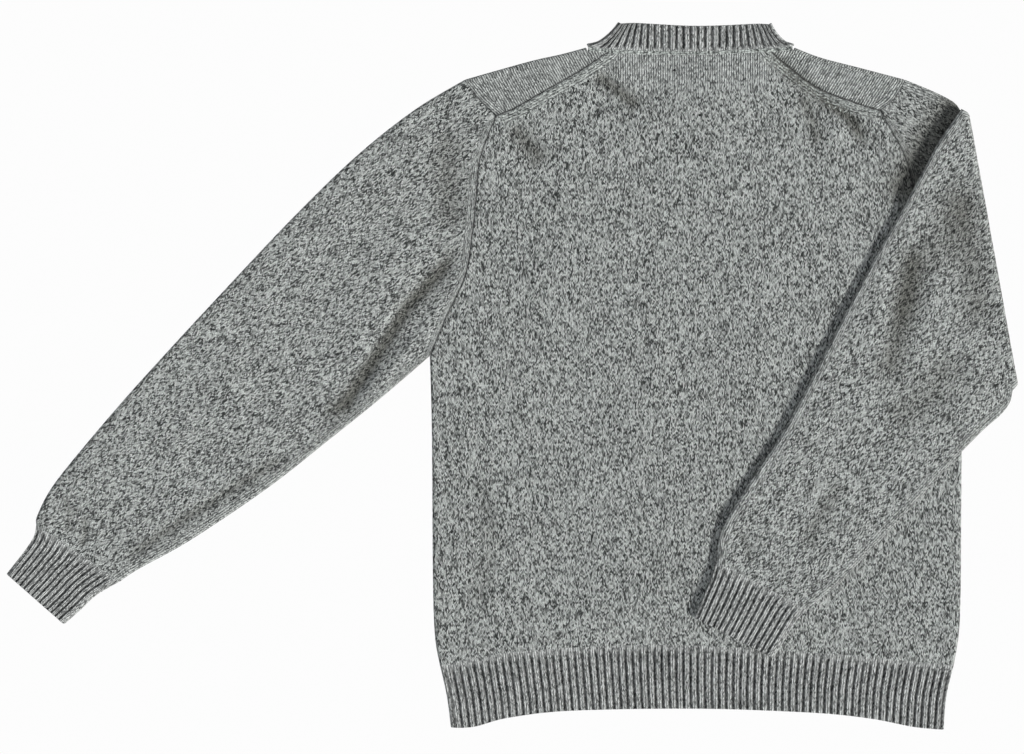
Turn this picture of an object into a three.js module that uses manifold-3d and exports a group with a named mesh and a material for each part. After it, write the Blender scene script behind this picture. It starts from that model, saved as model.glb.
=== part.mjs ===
// Crew-neck pullover in fully fashioned wool knit, lying on its front with its back uppermost.
// The left sleeve is stretched out to the lower left. The right sleeve leaves the armhole in the
// same way and is folded back over the body. Millimetres, +Z up, floor at z = 0, and the origin is
// the middle of the garment's box on the floor. Left and right are as seen from above.
//
// Every piece is a wall of knit. Body and sleeves are flattened tubes, two walls thick with a slight
// gap between them, and their side edges are round. The front runs over both shoulders onto the
// back, so the shoulder seams lie on the back.

import * as THREE from 'three';
import { mergeVertices } from 'three/addons/utils/BufferGeometryUtils.js';
import Module from 'manifold-3d';

const wasm = await Module();
wasm.setup();

// ---------- Driving dimensions ----------

const WALL = 2.8;                              // one thickness of knit
const LAYER_GAP = 1.6;                         // air between the two walls of a flattened tube
const TUBE = 2 * WALL + LAYER_GAP;             // whole thickness of a flattened tube
const EDGE = TUBE / 2;                         // radius of a tube's side edges
const MID = TUBE / 2;                          // height of the split between front and back
const SEAM = 0.3;                              // gap between two pieces at a seam
const FOLD_RADIUS = (TUBE + SEAM) / 2;         // middle of the folded sleeve's turn
const OPEN_REACH = 30;                         // how far a hollow runs past an open end
const KNIFE_REACH = 12;                        // how far a seam cut runs past the garment's edge

const EDGE_STEPS = 5;                          // steps round a tube's side edge
const FOLD_STEPS = 8;                          // steps round the folded sleeve's turn
const SLEEVE_STATIONS = 15;                    // sections along a sleeve
const CUFF_STATIONS = 5;                       // sections along a cuff

const NECK_CENTRE = 178;                       // middle of the neck, measured along X
const WOOL = '#868a87';
const RIB_WOOL = '#7c807d';

// ---------- Points and curves ----------

const point = (x, y) => new THREE.Vector2(x, y);

const spline = (places, steps) =>
  new THREE.SplineCurve(places.map(([x, y]) => point(x, y))).getSpacedPoints(steps);

const joined = (...runs) => {
  const line = [];
  for (const place of runs.flat()) {
    const last = line[line.length - 1];
    if (!last || last.distanceTo(place) > 0.5) line.push(place);
  }
  if (line[0].distanceTo(line[line.length - 1]) < 0.5) line.pop();
  return line;
};

const back = (line) => [...line].reverse();
const shifted = (line, dy) => line.map((place) => point(place.x, place.y + dy));

// The whole of a neckline that is even about the neck's middle, from the places of its left half.
const acrossNeck = (leftHalf) =>
  [...leftHalf, ...leftHalf.slice(0, -1).reverse().map(([x, y]) => [2 * NECK_CENTRE - x, y])];

// ---------- Outlines of the garment ----------

const hemEdge = spline([[-61, -351], [-38, -350], [-3, -341], [60, -334], [185, -332], [300, -336],
  [358, -342], [400, -350], [431, -353]], 24);
const hemSeam = spline([[-92, -294], [-63, -287], [-3, -276], [100, -269], [185, -269],
  [332, -278], [442, -289], [464, -292]], 20);

const leftSide = spline([[-61, -351], [-65, -320], [-72, -289], [-77, -259], [-79, -200],
  [-80, -60], [-82, 20]], 14);
const rightSide = spline([[431, -353], [434, -319], [441, -289], [446, -259], [448, -214],
  [449, -79], [451, 20]], 14);

const leftShoulder = spline([[-47, 296], [17, 314], [48, 321], [74, 328]], 6);
const rightShoulder = spline([[288, 324], [308, 318], [350, 307], [392, 296]], 6);
const leftCorner = spline([[74, 328], [81, 331], [89, 338], [104, 350]], 5);
const rightCorner = spline([[259, 350], [270, 338.5], [280, 329.5], [288, 324]], 5);
const bandTop = spline([[104, 350], [112, 353], [183, 349.5], [254, 352], [259, 350]], 10);

const backNeckSeam = spline([[74, 328], [98, 325], [178, 323], [256, 326], [282, 328]], 12);
const leftBackShoulder = spline([[-16, 260], [0, 266], [30, 283], [67, 304], [98, 325]], 9);
const rightBackShoulder = spline([[256, 326], [272, 312], [306, 287], [344, 272], [367, 265]], 9);
const leftBackArmhole = spline([[-82, 20], [-67, 56], [-47, 100], [-40, 140], [-36, 177],
  [-32, 217], [-16, 260]], 12);
const rightBackArmhole = spline([[451, 20], [436, 56], [416, 100], [409, 140], [404, 177],
  [392, 220], [367, 265]], 12);
const leftSleeveTop = spline([[-16, 260], [-32, 276], [-47, 296]], 4);
const rightSleeveTop = spline([[367, 265], [381, 277], [392, 296]], 4);
const leftFrontArmhole = spline([[-82, 20], [-66, 54], [-47, 104], [-37, 165], [-33, 215],
  [-36, 262], [-47, 296]], 12);
const rightFrontArmhole = spline([[451, 20], [435, 54], [416, 104], [406, 165], [402, 215],
  [398, 262], [392, 296]], 12);

const frontNeckSeam = spline(acrossNeck([[74, 328], [70, 305], [77, 279], [98, 255], [135, 241],
  [NECK_CENTRE, 236]]), 22);
const frontNeckEdge = spline(acrossNeck([[104, 350], [97, 327], [96, 306], [103, 287], [118, 273],
  [146, 265], [NECK_CENTRE, 262]]), 22);

// Sleeves: the upper edge leaves the shoulder and the lower edge leaves the underarm.
const leftUpper = [[-47, 296], [-97, 266], [-154, 221], [-216, 161], [-287, 86], [-370, -4],
  [-422, -64], [-458, -109], [-474, -139], [-475, -148]];
const leftLower = [[-82, 20], [-132, -23], [-183, -64], [-244, -112], [-321, -164], [-373, -193],
  [-391, -205]];
const leftCuffUpper = [[-475, -148], [-478, -160], [-487, -174], [-505, -197]];
const leftCuffLower = [[-391, -205], [-415, -219], [-430, -233], [-447, -248]];

const foldUpper = [447.2, 263];
const foldLower = [498.2, -15];
const rootUpper = [[392, 296], [421, 284], [440, 274], foldUpper];
const rootLower = [[451, 20], [474, 4], foldLower];
const rightUpper = [foldUpper, [425, 234], [411, 208], [386, 162], [354, 105], [310, 21], [270, -54],
  [230, -115], [208, -154], [203, -184]];
const rightLower = [foldLower, [493, -33], [472, -54], [450, -73], [423, -103], [393, -136],
  [352, -180], [321, -211], [293, -232]];
const rightCuffUpper = [[203, -184], [198, -200], [190, -219], [181, -240]];
const rightCuffLower = [[293, -232], [283, -244], [272, -262], [260, -281]];

// ---------- Solids ----------

const solidOf = (geometry) => {
  geometry.deleteAttribute('normal');
  geometry.deleteAttribute('uv');
  const merged = mergeVertices(geometry, 1e-4);
  return new wasm.Manifold(new wasm.Mesh({
    numProp: 3,
    vertProperties: new Float32Array(merged.getAttribute('position').array),
    triVerts: new Uint32Array(merged.getIndex().array),
  }));
};

const geometryOf = (solid) => {
  const mesh = solid.getMesh();
  const geometry = new THREE.BufferGeometry();
  geometry.setAttribute('position', new THREE.BufferAttribute(mesh.vertProperties, 3));
  geometry.setIndex(new THREE.BufferAttribute(mesh.triVerts, 1));
  return geometry;
};

const indexed = (places, faces) => {
  const geometry = new THREE.BufferGeometry();
  geometry.setAttribute('position', new THREE.Float32BufferAttribute(places.flat(), 3));
  geometry.setIndex(faces.flat());
  return geometry;
};

// A closed outline moved inwards by an even distance, with mitred corners.
const inset = (outline, distance) => {
  const turn = THREE.ShapeUtils.isClockWise(outline) ? 1 : -1;
  const inward = (from, to) => {
    const along = to.clone().sub(from).normalize();
    return point(along.y * turn, -along.x * turn);
  };
  return outline.map((place, i) => {
    const before = outline[(i + outline.length - 1) % outline.length];
    const after = outline[(i + 1) % outline.length];
    const first = inward(before, place);
    const second = inward(place, after);
    const mitre = distance / (1 + first.dot(second));
    return place.clone().add(first.add(second).multiplyScalar(mitre));
  });
};

// A flat solid with round edges: rings of the outline, drawn in towards its top and bottom faces.
const roundedSlab = (outline, thickness) => {
  const radius = thickness / 2;
  const places = [];
  const faces = [];
  const count = outline.length;
  const rings = 2 * EDGE_STEPS - 3;
  for (let ring = 0; ring <= rings; ring += 1) {
    const angle = Math.PI * (ring / rings - 0.5);
    const height = MID + radius * Math.sin(angle);
    for (const place of inset(outline, radius * (1 - Math.cos(angle)))) {
      places.push([place.x, place.y, height]);
    }
  }
  const clockwise = THREE.ShapeUtils.isClockWise(outline);
  const outwards = (a, b, c) => (clockwise ? [a, c, b] : [a, b, c]);
  for (let ring = 0; ring < rings; ring += 1) {
    for (let i = 0; i < count; i += 1) {
      const low = ring * count + i;
      const next = ring * count + (i + 1) % count;
      faces.push(outwards(low, next, next + count));
      faces.push(outwards(low, next + count, low + count));
    }
  }
  const top = rings * count;
  const flat = places.slice(top).map(([x, y]) => point(x, y));
  for (const [a, b, c] of THREE.ShapeUtils.triangulateShape(flat, [])) {
    faces.push(outwards(top + a, top + b, top + c));
    faces.push(outwards(c, b, a));
  }
  return solidOf(indexed(places, faces));
};

// A straight-walled region of the plan, between two heights.
const region = (outline, low, high) => {
  const geometry = new THREE.ExtrudeGeometry(new THREE.Shape(outline), {
    depth: high - low,
    bevelEnabled: false,
  });
  geometry.translate(0, 0, low);
  return solidOf(geometry);
};

// The narrow cut along a seam, run on past both of its ends.
const seamCut = (line, low, high) => {
  const first = line[0].clone().sub(line[1]).setLength(KNIFE_REACH).add(line[0]);
  const lastStep = line[line.length - 1].clone().sub(line[line.length - 2]);
  const last = lastStep.setLength(KNIFE_REACH).add(line[line.length - 1]);
  return flushCut([first, ...line, last], low, high);
};

// The same cut, ending where its line ends.
const flushCut = (path, low, high) => {
  const sideways = path.map((place, i) => {
    const from = path[Math.max(i - 1, 0)];
    const to = path[Math.min(i + 1, path.length - 1)];
    const along = to.clone().sub(from).setLength(SEAM / 2);
    return point(-along.y, along.x);
  });
  const oneSide = path.map((place, i) => place.clone().add(sideways[i]));
  const otherSide = path.map((place, i) => place.clone().sub(sideways[i]));
  return region([...oneSide, ...back(otherSide)], low, high);
};

// ---------- Sleeve and cuff tubes ----------

// One section of a flattened tube. It runs from the upper to the lower edge, and facing is the
// direction from its front wall to its back wall.
const section = (upper, lower, facing, radius) => {
  const across = lower.clone().sub(upper).normalize();
  const ring = [];
  const bend = (centre, start) => {
    for (let step = 0; step <= EDGE_STEPS; step += 1) {
      const angle = start + Math.PI * step / EDGE_STEPS;
      ring.push(centre.clone()
        .addScaledVector(across, radius * Math.cos(angle))
        .addScaledVector(facing, radius * Math.sin(angle)));
    }
  };
  bend(upper.clone().addScaledVector(across, EDGE), Math.PI / 2);
  bend(lower.clone().addScaledVector(across, -EDGE), 3 * Math.PI / 2);
  return ring;
};

// A hollow tube through its sections, open at both ends.
const tube = (stations) => {
  const places = [];
  const faces = [];
  const size = 2 * (EDGE_STEPS + 1);
  for (const radius of [EDGE, EDGE - WALL]) {
    for (const { upper, lower, facing } of stations) {
      for (const place of section(upper, lower, facing, radius)) {
        places.push([place.x, place.y, place.z]);
      }
    }
  }
  const inner = stations.length * size;
  const quad = (a, b, c, d) => faces.push([a, b, c], [a, c, d]);
  for (let i = 0; i < size; i += 1) {
    const next = (i + 1) % size;
    for (let row = 0; row < stations.length - 1; row += 1) {
      const near = row * size;
      const far = near + size;
      quad(near + i, near + next, far + next, far + i);
      quad(inner + near + next, inner + near + i, inner + far + i, inner + far + next);
    }
    const end = (stations.length - 1) * size;
    quad(next, i, inner + i, inner + next);
    quad(end + i, end + next, inner + end + next, inner + end + i);
  }
  return solidOf(outwardFacing(indexed(places, faces)));
};

// Turns a closed mesh inside out where its volume comes out negative.
const outwardFacing = (geometry) => {
  const place = geometry.getAttribute('position');
  const index = geometry.getIndex();
  const corner = (i) => new THREE.Vector3().fromBufferAttribute(place, index.getX(i));
  let volume = 0;
  for (let i = 0; i < index.count; i += 3) {
    volume += corner(i).dot(corner(i + 1).cross(corner(i + 2)));
  }
  if (volume < 0) index.array.reverse();
  return geometry;
};

const UP = new THREE.Vector3(0, 0, 1);
const DOWN = new THREE.Vector3(0, 0, -1);
const at = (place, height) => new THREE.Vector3(place.x, place.y, height);

const flatStations = (upperPlaces, lowerPlaces, steps, height, facing) => {
  const upper = spline(upperPlaces, steps);
  const lower = spline(lowerPlaces, steps);
  return upper.map((place, i) => ({
    upper: at(place, height),
    lower: at(lower[i], height),
    facing,
  }));
};

// The turn of the folded sleeve, from lying on the floor to lying on the body.
const foldStations = () => {
  const upper = point(...foldUpper);
  const lower = point(...foldLower);
  const along = lower.clone().sub(upper).normalize();
  const outward = point(-along.y, along.x);
  const stations = [];
  for (let step = 1; step < FOLD_STEPS; step += 1) {
    const angle = Math.PI * step / FOLD_STEPS;
    const reach = outward.clone().multiplyScalar(FOLD_RADIUS * Math.sin(angle));
    const height = MID + FOLD_RADIUS * (1 - Math.cos(angle));
    stations.push({
      upper: at(upper.clone().add(reach), height),
      lower: at(lower.clone().add(reach), height),
      facing: new THREE.Vector3(
        -outward.x * Math.sin(angle),
        -outward.y * Math.sin(angle),
        Math.cos(angle),
      ),
    });
  }
  return stations;
};

// Leaves a seam's gap before the next piece by drawing the last section back.
const shortened = (stations) => {
  const last = stations[stations.length - 1];
  const before = stations[stations.length - 2];
  for (const edge of ['upper', 'lower']) {
    const step = before[edge].clone().sub(last[edge]).setLength(SEAM);
    last[edge] = last[edge].clone().add(step);
  }
  return stations;
};

const FOLDED_MID = MID + 2 * FOLD_RADIUS;      // middle of the folded sleeve, lying on the back

// Each sleeve's tube starts from a section inside the body, which the armhole seams cut off again.
const leftHead = {
  upper: new THREE.Vector3(6, 311, MID),
  lower: new THREE.Vector3(-58, 32, MID),
  facing: UP,
};
const rightHead = {
  upper: new THREE.Vector3(342, 309, MID),
  lower: new THREE.Vector3(424, 32, MID),
  facing: UP,
};

const leftSleeveTube = tube([leftHead,
  ...shortened(flatStations(leftUpper, leftLower, SLEEVE_STATIONS, MID, UP))]);
const rightSleeveTube = tube([rightHead,
  ...flatStations(rootUpper, rootLower, 4, MID, UP),
  ...foldStations(),
  ...shortened(flatStations(rightUpper, rightLower, SLEEVE_STATIONS, FOLDED_MID, DOWN))]);
const leftCuff = tube(flatStations(leftCuffUpper, leftCuffLower, CUFF_STATIONS, MID, UP));
const rightCuff = tube(flatStations(rightCuffUpper, rightCuffLower, CUFF_STATIONS, FOLDED_MID, DOWN));

// ---------- Body shell ----------

// The body's outline, with stubs of both sleeves that the armhole seams cut off again.
const leftStub = [point(-132, -23), point(-154, 221), point(-97, 266)];
const rightStub = [point(440, 270), point(474, 4)];

const bodyOutline = (hem, neck) => joined(hem, rightSide.slice(1), back(rightStub),
  back(rightShoulder), back(rightCorner), neck, back(leftCorner), back(leftShoulder),
  back(leftStub), back(leftSide));

const bodySlab = roundedSlab(bodyOutline(hemEdge, back(bandTop)), TUBE);
const openHem = shifted(hemEdge, -OPEN_REACH);
const openNeck = shifted([bandTop[bandTop.length - 1], bandTop[0]], OPEN_REACH);
const bodyHollow = roundedSlab(inset(bodyOutline(openHem, openNeck), WALL), LAYER_GAP);

const LOW = -1;
const HIGH = TUBE + SEAM / 2;                  // between the back and the folded sleeve
const OVERLAP = 0.5;                           // how far cuts and folds run past the split

// The head's way in: the front's wall is open inside the band's front edge.
const neckHole = region([...frontNeckEdge, ...openNeck], LOW, MID);

const topSeams = [
  seamCut(joined(leftBackArmhole, leftSleeveTop), MID - OVERLAP, HIGH),
  seamCut(joined(rightBackArmhole, rightSleeveTop), MID - OVERLAP, HIGH),
  flushCut(leftBackShoulder, MID, HIGH),
  flushCut(rightBackShoulder, MID, HIGH),
  seamCut(backNeckSeam, MID - OVERLAP, HIGH),
];
const bottomSeams = [
  seamCut(leftFrontArmhole, LOW, MID + OVERLAP),
  seamCut(rightFrontArmhole, LOW, MID + OVERLAP),
  seamCut(frontNeckSeam, LOW, MID + OVERLAP),
];

const cutBy = (solid, cuts) => cuts.reduce((rest, cut) => rest.subtract(cut), solid);
const body = cutBy(bodySlab.subtract(bodyHollow).subtract(neckHole),
  [...topSeams, ...bottomSeams, seamCut(hemSeam, LOW, HIGH)]);

// Places just past the garment's outer edges, where the regions that hold the pieces turn.
const besideUnderarm = [point(-92, 2)];
const besideOtherUnderarm = [point(461, 2)];
const pastLeftShoulder = point(-54, 308);
const pastRightShoulder = point(399, 308);
const pastLeftNeck = point(66, 342);
const pastRightNeck = point(294, 338);
const pastHem = [point(500, -400), point(-130, -400)];
const pastBand = [point(294, 344), point(280, 370), point(80, 370), point(64, 342)];

const hemArea = joined(hemSeam, pastHem);
const panelFoot = joined(back(hemSeam), besideUnderarm);

const backArea = joined(panelFoot, leftBackArmhole, leftBackShoulder,
  backNeckSeam.filter((place) => place.x > 98 && place.x < 256), rightBackShoulder,
  back(rightBackArmhole), besideOtherUnderarm);
const leftYoke = joined(leftBackShoulder, [point(98, 325)],
  back(backNeckSeam.filter((place) => place.x < 98)), [pastLeftNeck, pastLeftShoulder],
  back(leftSleeveTop));
const rightYoke = joined(rightBackShoulder, rightSleeveTop, [pastRightShoulder, pastRightNeck],
  back(backNeckSeam.filter((place) => place.x > 256)));
const frontArea = joined(panelFoot, leftFrontArmhole, [pastLeftShoulder, pastLeftNeck],
  frontNeckSeam, [pastRightNeck, pastRightShoulder], back(rightFrontArmhole), besideOtherUnderarm);
const backBandArea = joined(backNeckSeam, pastBand);
const frontBandArea = joined(back(frontNeckSeam), back(pastBand));

const top = (outline) => region(outline, MID + SEAM / 2, HIGH);
const bottom = (outline) => region(outline, LOW, MID - SEAM / 2);
const overFold = (outline) => region(outline, MID - OVERLAP, HIGH);
const underFold = (outline) => region(outline, LOW, MID);

const backPanel = body.intersect(top(backArea));
const frontPanel = body.intersect(bottom(frontArea).add(overFold(leftYoke)).add(overFold(rightYoke)))
  .subtract(region(frontBandArea, LOW, MID + SEAM));
const neckband = body.intersect(underFold(frontBandArea).add(overFold(backBandArea)));
const backHem = body.intersect(top(hemArea));
const frontHem = body.intersect(bottom(hemArea));

// ---------- Sleeve heads, cut to the armholes ----------

// The body's side of each armhole, far enough in to hold the whole head of the tube.
const leftInside = [pastLeftShoulder, point(60, 340), point(60, -20), point(-92, -4)];
const rightInside = [pastRightShoulder, point(300, 340), point(300, -20), point(461, -4)];
const topSide = (outline) => region(outline, MID - SEAM / 2, HIGH);
const bottomSide = (outline) => region(outline, LOW, MID + SEAM / 2);

const leftBodyTop = topSide(joined(leftBackArmhole, leftSleeveTop, leftInside));
const leftBodyBottom = bottomSide(joined(leftFrontArmhole, leftInside));
const rightBodyTop = topSide(joined(rightBackArmhole, rightSleeveTop, rightInside));
const rightBodyBottom = bottomSide(joined(rightFrontArmhole, rightInside));

const leftSleeve = cutBy(leftSleeveTube, [topSeams[0], bottomSeams[0], leftBodyTop, leftBodyBottom]);
const rightSleeve = cutBy(rightSleeveTube, [topSeams[1], bottomSeams[1], rightBodyTop, rightBodyBottom]);

// ---------- The garment ----------

const group = new THREE.Group();

const add = (name, solid, colour) => {
  const finish = new THREE.MeshStandardMaterial({ color: colour, roughness: 0.95, metalness: 0 });
  const mesh = new THREE.Mesh(geometryOf(solid), finish);
  mesh.name = name;
  group.add(mesh);
};

add('back_panel', backPanel, WOOL);
add('front_panel', frontPanel, WOOL);
add('back_hem_rib', backHem, RIB_WOOL);
add('front_hem_rib', frontHem, RIB_WOOL);
add('neckband', neckband, RIB_WOOL);
add('sleeve_left', leftSleeve, WOOL);
add('cuff_left', leftCuff, RIB_WOOL);
add('sleeve_right', rightSleeve, WOOL);
add('cuff_right', rightCuff, RIB_WOOL);

export default group;
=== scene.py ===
import math

import bpy
import numpy as np
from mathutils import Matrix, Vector


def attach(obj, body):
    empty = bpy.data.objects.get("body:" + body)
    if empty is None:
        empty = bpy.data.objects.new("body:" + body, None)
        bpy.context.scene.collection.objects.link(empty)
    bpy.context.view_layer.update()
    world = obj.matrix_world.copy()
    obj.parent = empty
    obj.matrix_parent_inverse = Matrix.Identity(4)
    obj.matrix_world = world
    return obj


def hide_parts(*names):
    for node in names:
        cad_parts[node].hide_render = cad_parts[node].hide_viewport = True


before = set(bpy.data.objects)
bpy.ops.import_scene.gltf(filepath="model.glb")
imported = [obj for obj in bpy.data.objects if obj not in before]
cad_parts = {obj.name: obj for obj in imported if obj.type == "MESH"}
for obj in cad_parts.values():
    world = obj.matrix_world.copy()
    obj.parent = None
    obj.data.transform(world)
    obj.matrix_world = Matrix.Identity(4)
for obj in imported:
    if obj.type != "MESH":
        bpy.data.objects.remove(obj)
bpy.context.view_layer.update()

MM = 0.001

# ---------- Sizes of the cloth ----------

WALL = 2.8 * MM                     # one thickness of knit
LAYER_GAP = 1.6 * MM                # air between the two walls of a flattened tube
TUBE = 2 * WALL + LAYER_GAP         # whole thickness of a flattened tube
EDGE = TUBE / 2                     # radius of a tube's side edges
MID = TUBE / 2                      # height of the split between front and back
SEAM = 0.3 * MM                     # gap between cloth that lies on cloth
FOLD_RADIUS = (TUBE + SEAM) / 2     # radius of the folded sleeve's turn, to the middle of its cloth
FOLDED_MID = MID + 2 * FOLD_RADIUS  # middle of the folded sleeve where it lies on the back
LIP = 1.0 * MM                      # rounding of a sewn or bound edge
BAND = 10 * MM                      # width of the fashioned band beside a seam
FLOOR_CLEAR = 0.6 * MM              # lowest stretch of the cloth, which keeps its place

WALE = 2.35 * MM                    # width of one stitch
COURSE = 1.9 * MM                   # height of one stitch
STITCH_RISE = 2.0                   # how many stitches high a leg climbs across a whole wale
HEM_RIBS = 71                       # repeats across one side of the hem
CUFF_RIBS = 15                      # repeats across one side of a cuff
NECK_RIB = 7.2 * MM                 # width of one repeat of the neckband's rib
RIB_DEPTH = 2.2 * MM                # how deep a trough of rib is below its crests
RIB_START = 9 * MM                  # length over which a rib comes up from the plain knit
HEM_PHASE, CUFF_PHASE = 0.2, 0.25   # the part of a repeat with which each rib begins
CUFF_RELIEF, BAND_RELIEF = 0.85, 0.75   # depth of a cuff's and the neckband's rib, as shares of a hem's
RIB_CLEAR = 0.8                     # how plainly the wales of ribs show
CREST_SHARE = 0.58                  # share of a rib's repeat that its two knit wales take
BAND_HALF = 1.7 * MM                # half the neckband's thickness
NECK_PROUD = 0.3 * MM               # how far the neckband stands above the panels

NECK_CENTRE = 178                   # middle of the neck, in millimetres along X

# ---------- Outlines, in millimetres ----------

HEM_EDGE = [[-61, -351], [-38, -350], [-3, -341], [60, -334], [185, -332], [300, -336],
            [358, -342], [400, -350], [431, -353]]
HEM_SEAM = [[-72, -288.5], [-3, -276], [100, -269], [185, -269], [332, -278], [441, -289]]
LEFT_RIB_SIDE = [[-61, -351], [-65, -320], [-72, -288.5]]
RIGHT_RIB_SIDE = [[431, -353], [434, -319], [441, -289]]
LEFT_SIDE = [[-72, -288.5], [-77, -259], [-79, -200], [-80, -60], [-82, 20]]
RIGHT_SIDE = [[441, -289], [446, -259], [448, -214], [449, -79], [451, 20]]

LEFT_SHOULDER = [[-47, 296], [17, 314], [48, 321], [74, 328]]
RIGHT_SHOULDER = [[392, 296], [350, 307], [308, 318], [282, 328]]
BAND_TOP = [[104, 350], [112, 353], [183, 349.5], [254, 352], [259, 350]]
BACK_NECK_SEAM = [[74, 328], [98, 325], [178, 323], [256, 326], [282, 328]]
PANEL_NECK_SEAM = [[98, 325], [178, 323], [256, 326]]
LEFT_BACK_SHOULDER = [[-16, 260], [0, 266], [30, 283], [67, 304], [98, 325]]
RIGHT_BACK_SHOULDER = [[367, 265], [344, 272], [306, 287], [272, 312], [256, 326]]
LEFT_BACK_ARMHOLE = [[-82, 20], [-67, 56], [-47, 100], [-40, 140], [-36, 177], [-32, 217], [-16, 260]]
RIGHT_BACK_ARMHOLE = [[451, 20], [436, 56], [416, 100], [409, 140], [404, 177], [392, 220], [367, 265]]
LEFT_SLEEVE_TOP = [[-16, 260], [-32, 276], [-47, 296]]
RIGHT_SLEEVE_TOP = [[367, 265], [381, 277], [392, 296]]
LEFT_FRONT_ARMHOLE = [[-82, 20], [-66, 54], [-47, 104], [-37, 165], [-33, 215], [-36, 262], [-47, 296]]
RIGHT_FRONT_ARMHOLE = [[451, 20], [435, 54], [416, 104], [406, 165], [402, 215], [398, 262], [392, 296]]
YOKE_START = 4                      # the armhole's place from which the shoulder's own block begins
FRONT_NECK_HALF = [[74, 328], [70, 305], [77, 279], [98, 255], [135, 241], [NECK_CENTRE, 236]]
FRONT_EDGE_HALF = [[104, 350], [97, 327], [96, 306], [103, 287], [118, 273], [146, 265],
                   [NECK_CENTRE, 262]]
BAND_TOP_END = [259, 350]

LEFT_UPPER = [[-47, 296], [-97, 266], [-154, 221], [-216, 161], [-287, 86], [-370, -4],
              [-422, -64], [-458, -109], [-474, -139], [-475, -148]]
LEFT_LOWER = [[-82, 20], [-132, -23], [-183, -64], [-244, -112], [-321, -164], [-373, -193],
              [-391, -205]]
LEFT_CUFF_UPPER = [[-475, -148], [-478, -160], [-487, -174], [-505, -197]]
LEFT_CUFF_LOWER = [[-391, -205], [-415, -219], [-430, -233], [-447, -248]]

FOLD_UPPER = [447.6, 266]
FOLD_LOWER = [498.2, -15]
ROOT_UPPER = [[392, 296], [421, 284], [441, 274], FOLD_UPPER]
ROOT_LOWER = [[451, 20], [474, 4], FOLD_LOWER]
RIGHT_UPPER = [FOLD_UPPER, [425, 234], [411, 208], [386, 162], [354, 105], [310, 21], [270, -54],
               [230, -115], [208, -154], [203, -184]]
RIGHT_LOWER = [FOLD_LOWER, [496, -27], [487, -39], [472, -52], [450, -73], [423, -103], [393, -136],
               [352, -180], [321, -211], [293, -232]]
RIGHT_CUFF_UPPER = [[203, -184], [198, -200], [190, -219], [181, -240]]
RIGHT_CUFF_LOWER = [[293, -232], [283, -244], [272, -262], [260, -281]]

LEFT_WALES = (-0.741, -0.671)       # the way the wales of each part of a sleeve run, in the plan
ROOT_WALES = (0.741, -0.671)
FOLDED_WALES = (-0.561, -0.828)

# ---------- Soft troughs and ridges ----------

# Each has its line in millimetres, its half width, and its height, which is negative for a trough.
LAID_CREASES = [
    ([[462, 296], [440, 264], [422, 240], [404, 212], [378, 162]], 20, -3.6),
    ([[80, 304], [104, 286], [130, 266]], 7, -3),
    ([[-2, 252], [14, 233], [34, 210]], 9, -2.6),
    ([[252, 326], [282, 298], [312, 276], [340, 254], [356, 224]], 7, -3.6),
    ([[288, 282], [299, 256], [306, 228]], 7, -2.2),
    ([[322, 262], [324, 240], [316, 214]], 7.5, 2.4),
    ([[-62, 252], [-66, 214], [-64, 176], [-62, 140]], 15, -1.8),
    ([[-64, -10], [-40, 40], [-26, 92]], 9, 1.5),
    ([[40, -235], [170, -228], [330, -238]], 22, 2.2),
    ([[-40, -240], [-20, -170], [-30, -90]], 10.5, -1),
    ([[120, 120], [150, 20], [130, -80]], 26, 1.5),
    ([[262, 150], [240, 60], [236, -60]], 24, 1.2),
    ([[60, 190], [30, 90], [40, -20]], 26, 1.3),
    ([[-52, 138], [-68, 109], [-85, 90], [-104, 71], [-141, 11], [-166, -27], [-200, -48]], 8, -4.2),
    ([[-34, 122], [-58, 88], [-84, 50], [-122, 4], [-160, -36]], 8, 3.2),
    ([[-96, 150], [-130, 92], [-180, 30]], 26, 2.6),
    ([[-397, -189], [-321, -139], [-262, -102], [-215, -72]], 5.2, -2.2),
    ([[-427, -138], [-425, -156], [-430, -172]], 3, -2.4),
    ([[-446, -118], [-440, -140], [-444, -160]], 3.8, -1.4),
    ([[-150, 190], [-210, 128], [-270, 60]], 20, 2),
    ([[-250, 20], [-310, -40], [-370, -100]], 24, 2),
]
FOLDED_CREASES = [
    ([[462, 296], [440, 264], [422, 240], [404, 212], [378, 162]], 20, 5.0),
    ([[402, 140], [392, 88], [382, 36], [370, -16]], 12, -2.4),
    ([[372, 120], [362, 70], [352, 20]], 9, 1.7),
    ([[424, 110], [414, 60], [406, 10]], 9.8, 1.7),
    ([[478, -44], [440, -92], [398, -140], [350, -188], [308, -226]], 4.5, -2.1),
    ([[446, 190], [458, 110], [466, 40]], 16, -1.8),
    ([[455, 208], [441, 173], [427, 135], [411, 107], [399, 74], [388, 38]], 20, -1.5),
    ([[444, 27], [423, -6], [399, -30], [371, -49]], 18, -1.5),
    ([[300, -60], [280, -100], [262, -140]], 18, 2),
    ([[330, -100], [306, -140], [286, -176]], 9, -1.4),
    ([[226, -150], [234, -172], [240, -186]], 3.8, -1.4),
]
CREASE_FADE = 0.18                  # share of a crease, at each end, over which it comes and goes
# Long waves of cloth laid down by hand: length in millimetres, direction in radians, and phase.
WAVES = [(71, 0.4, 0.3), (53, 1.7, 2.1), (38, 2.6, 4.0), (29, 0.9, 1.2), (94, 2.2, 5.1)]
WAVE_HEIGHT = 0.0035                # height of a wave for each metre of its length
WAVE_DRIFT, DRIFT_LENGTH = 2.2, 1.7     # how far a wave wanders, and over how many of its lengths
BODY_EDGE = 452 * MM                # where the folded sleeve leaves the body and hangs free
HANG_TOP = -8 * MM                  # above this the sleeve's root still bears it
HANG = 5.0 * MM                     # how far it sinks there
HANG_FADE = 25 * MM                 # length over which it comes down


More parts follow.
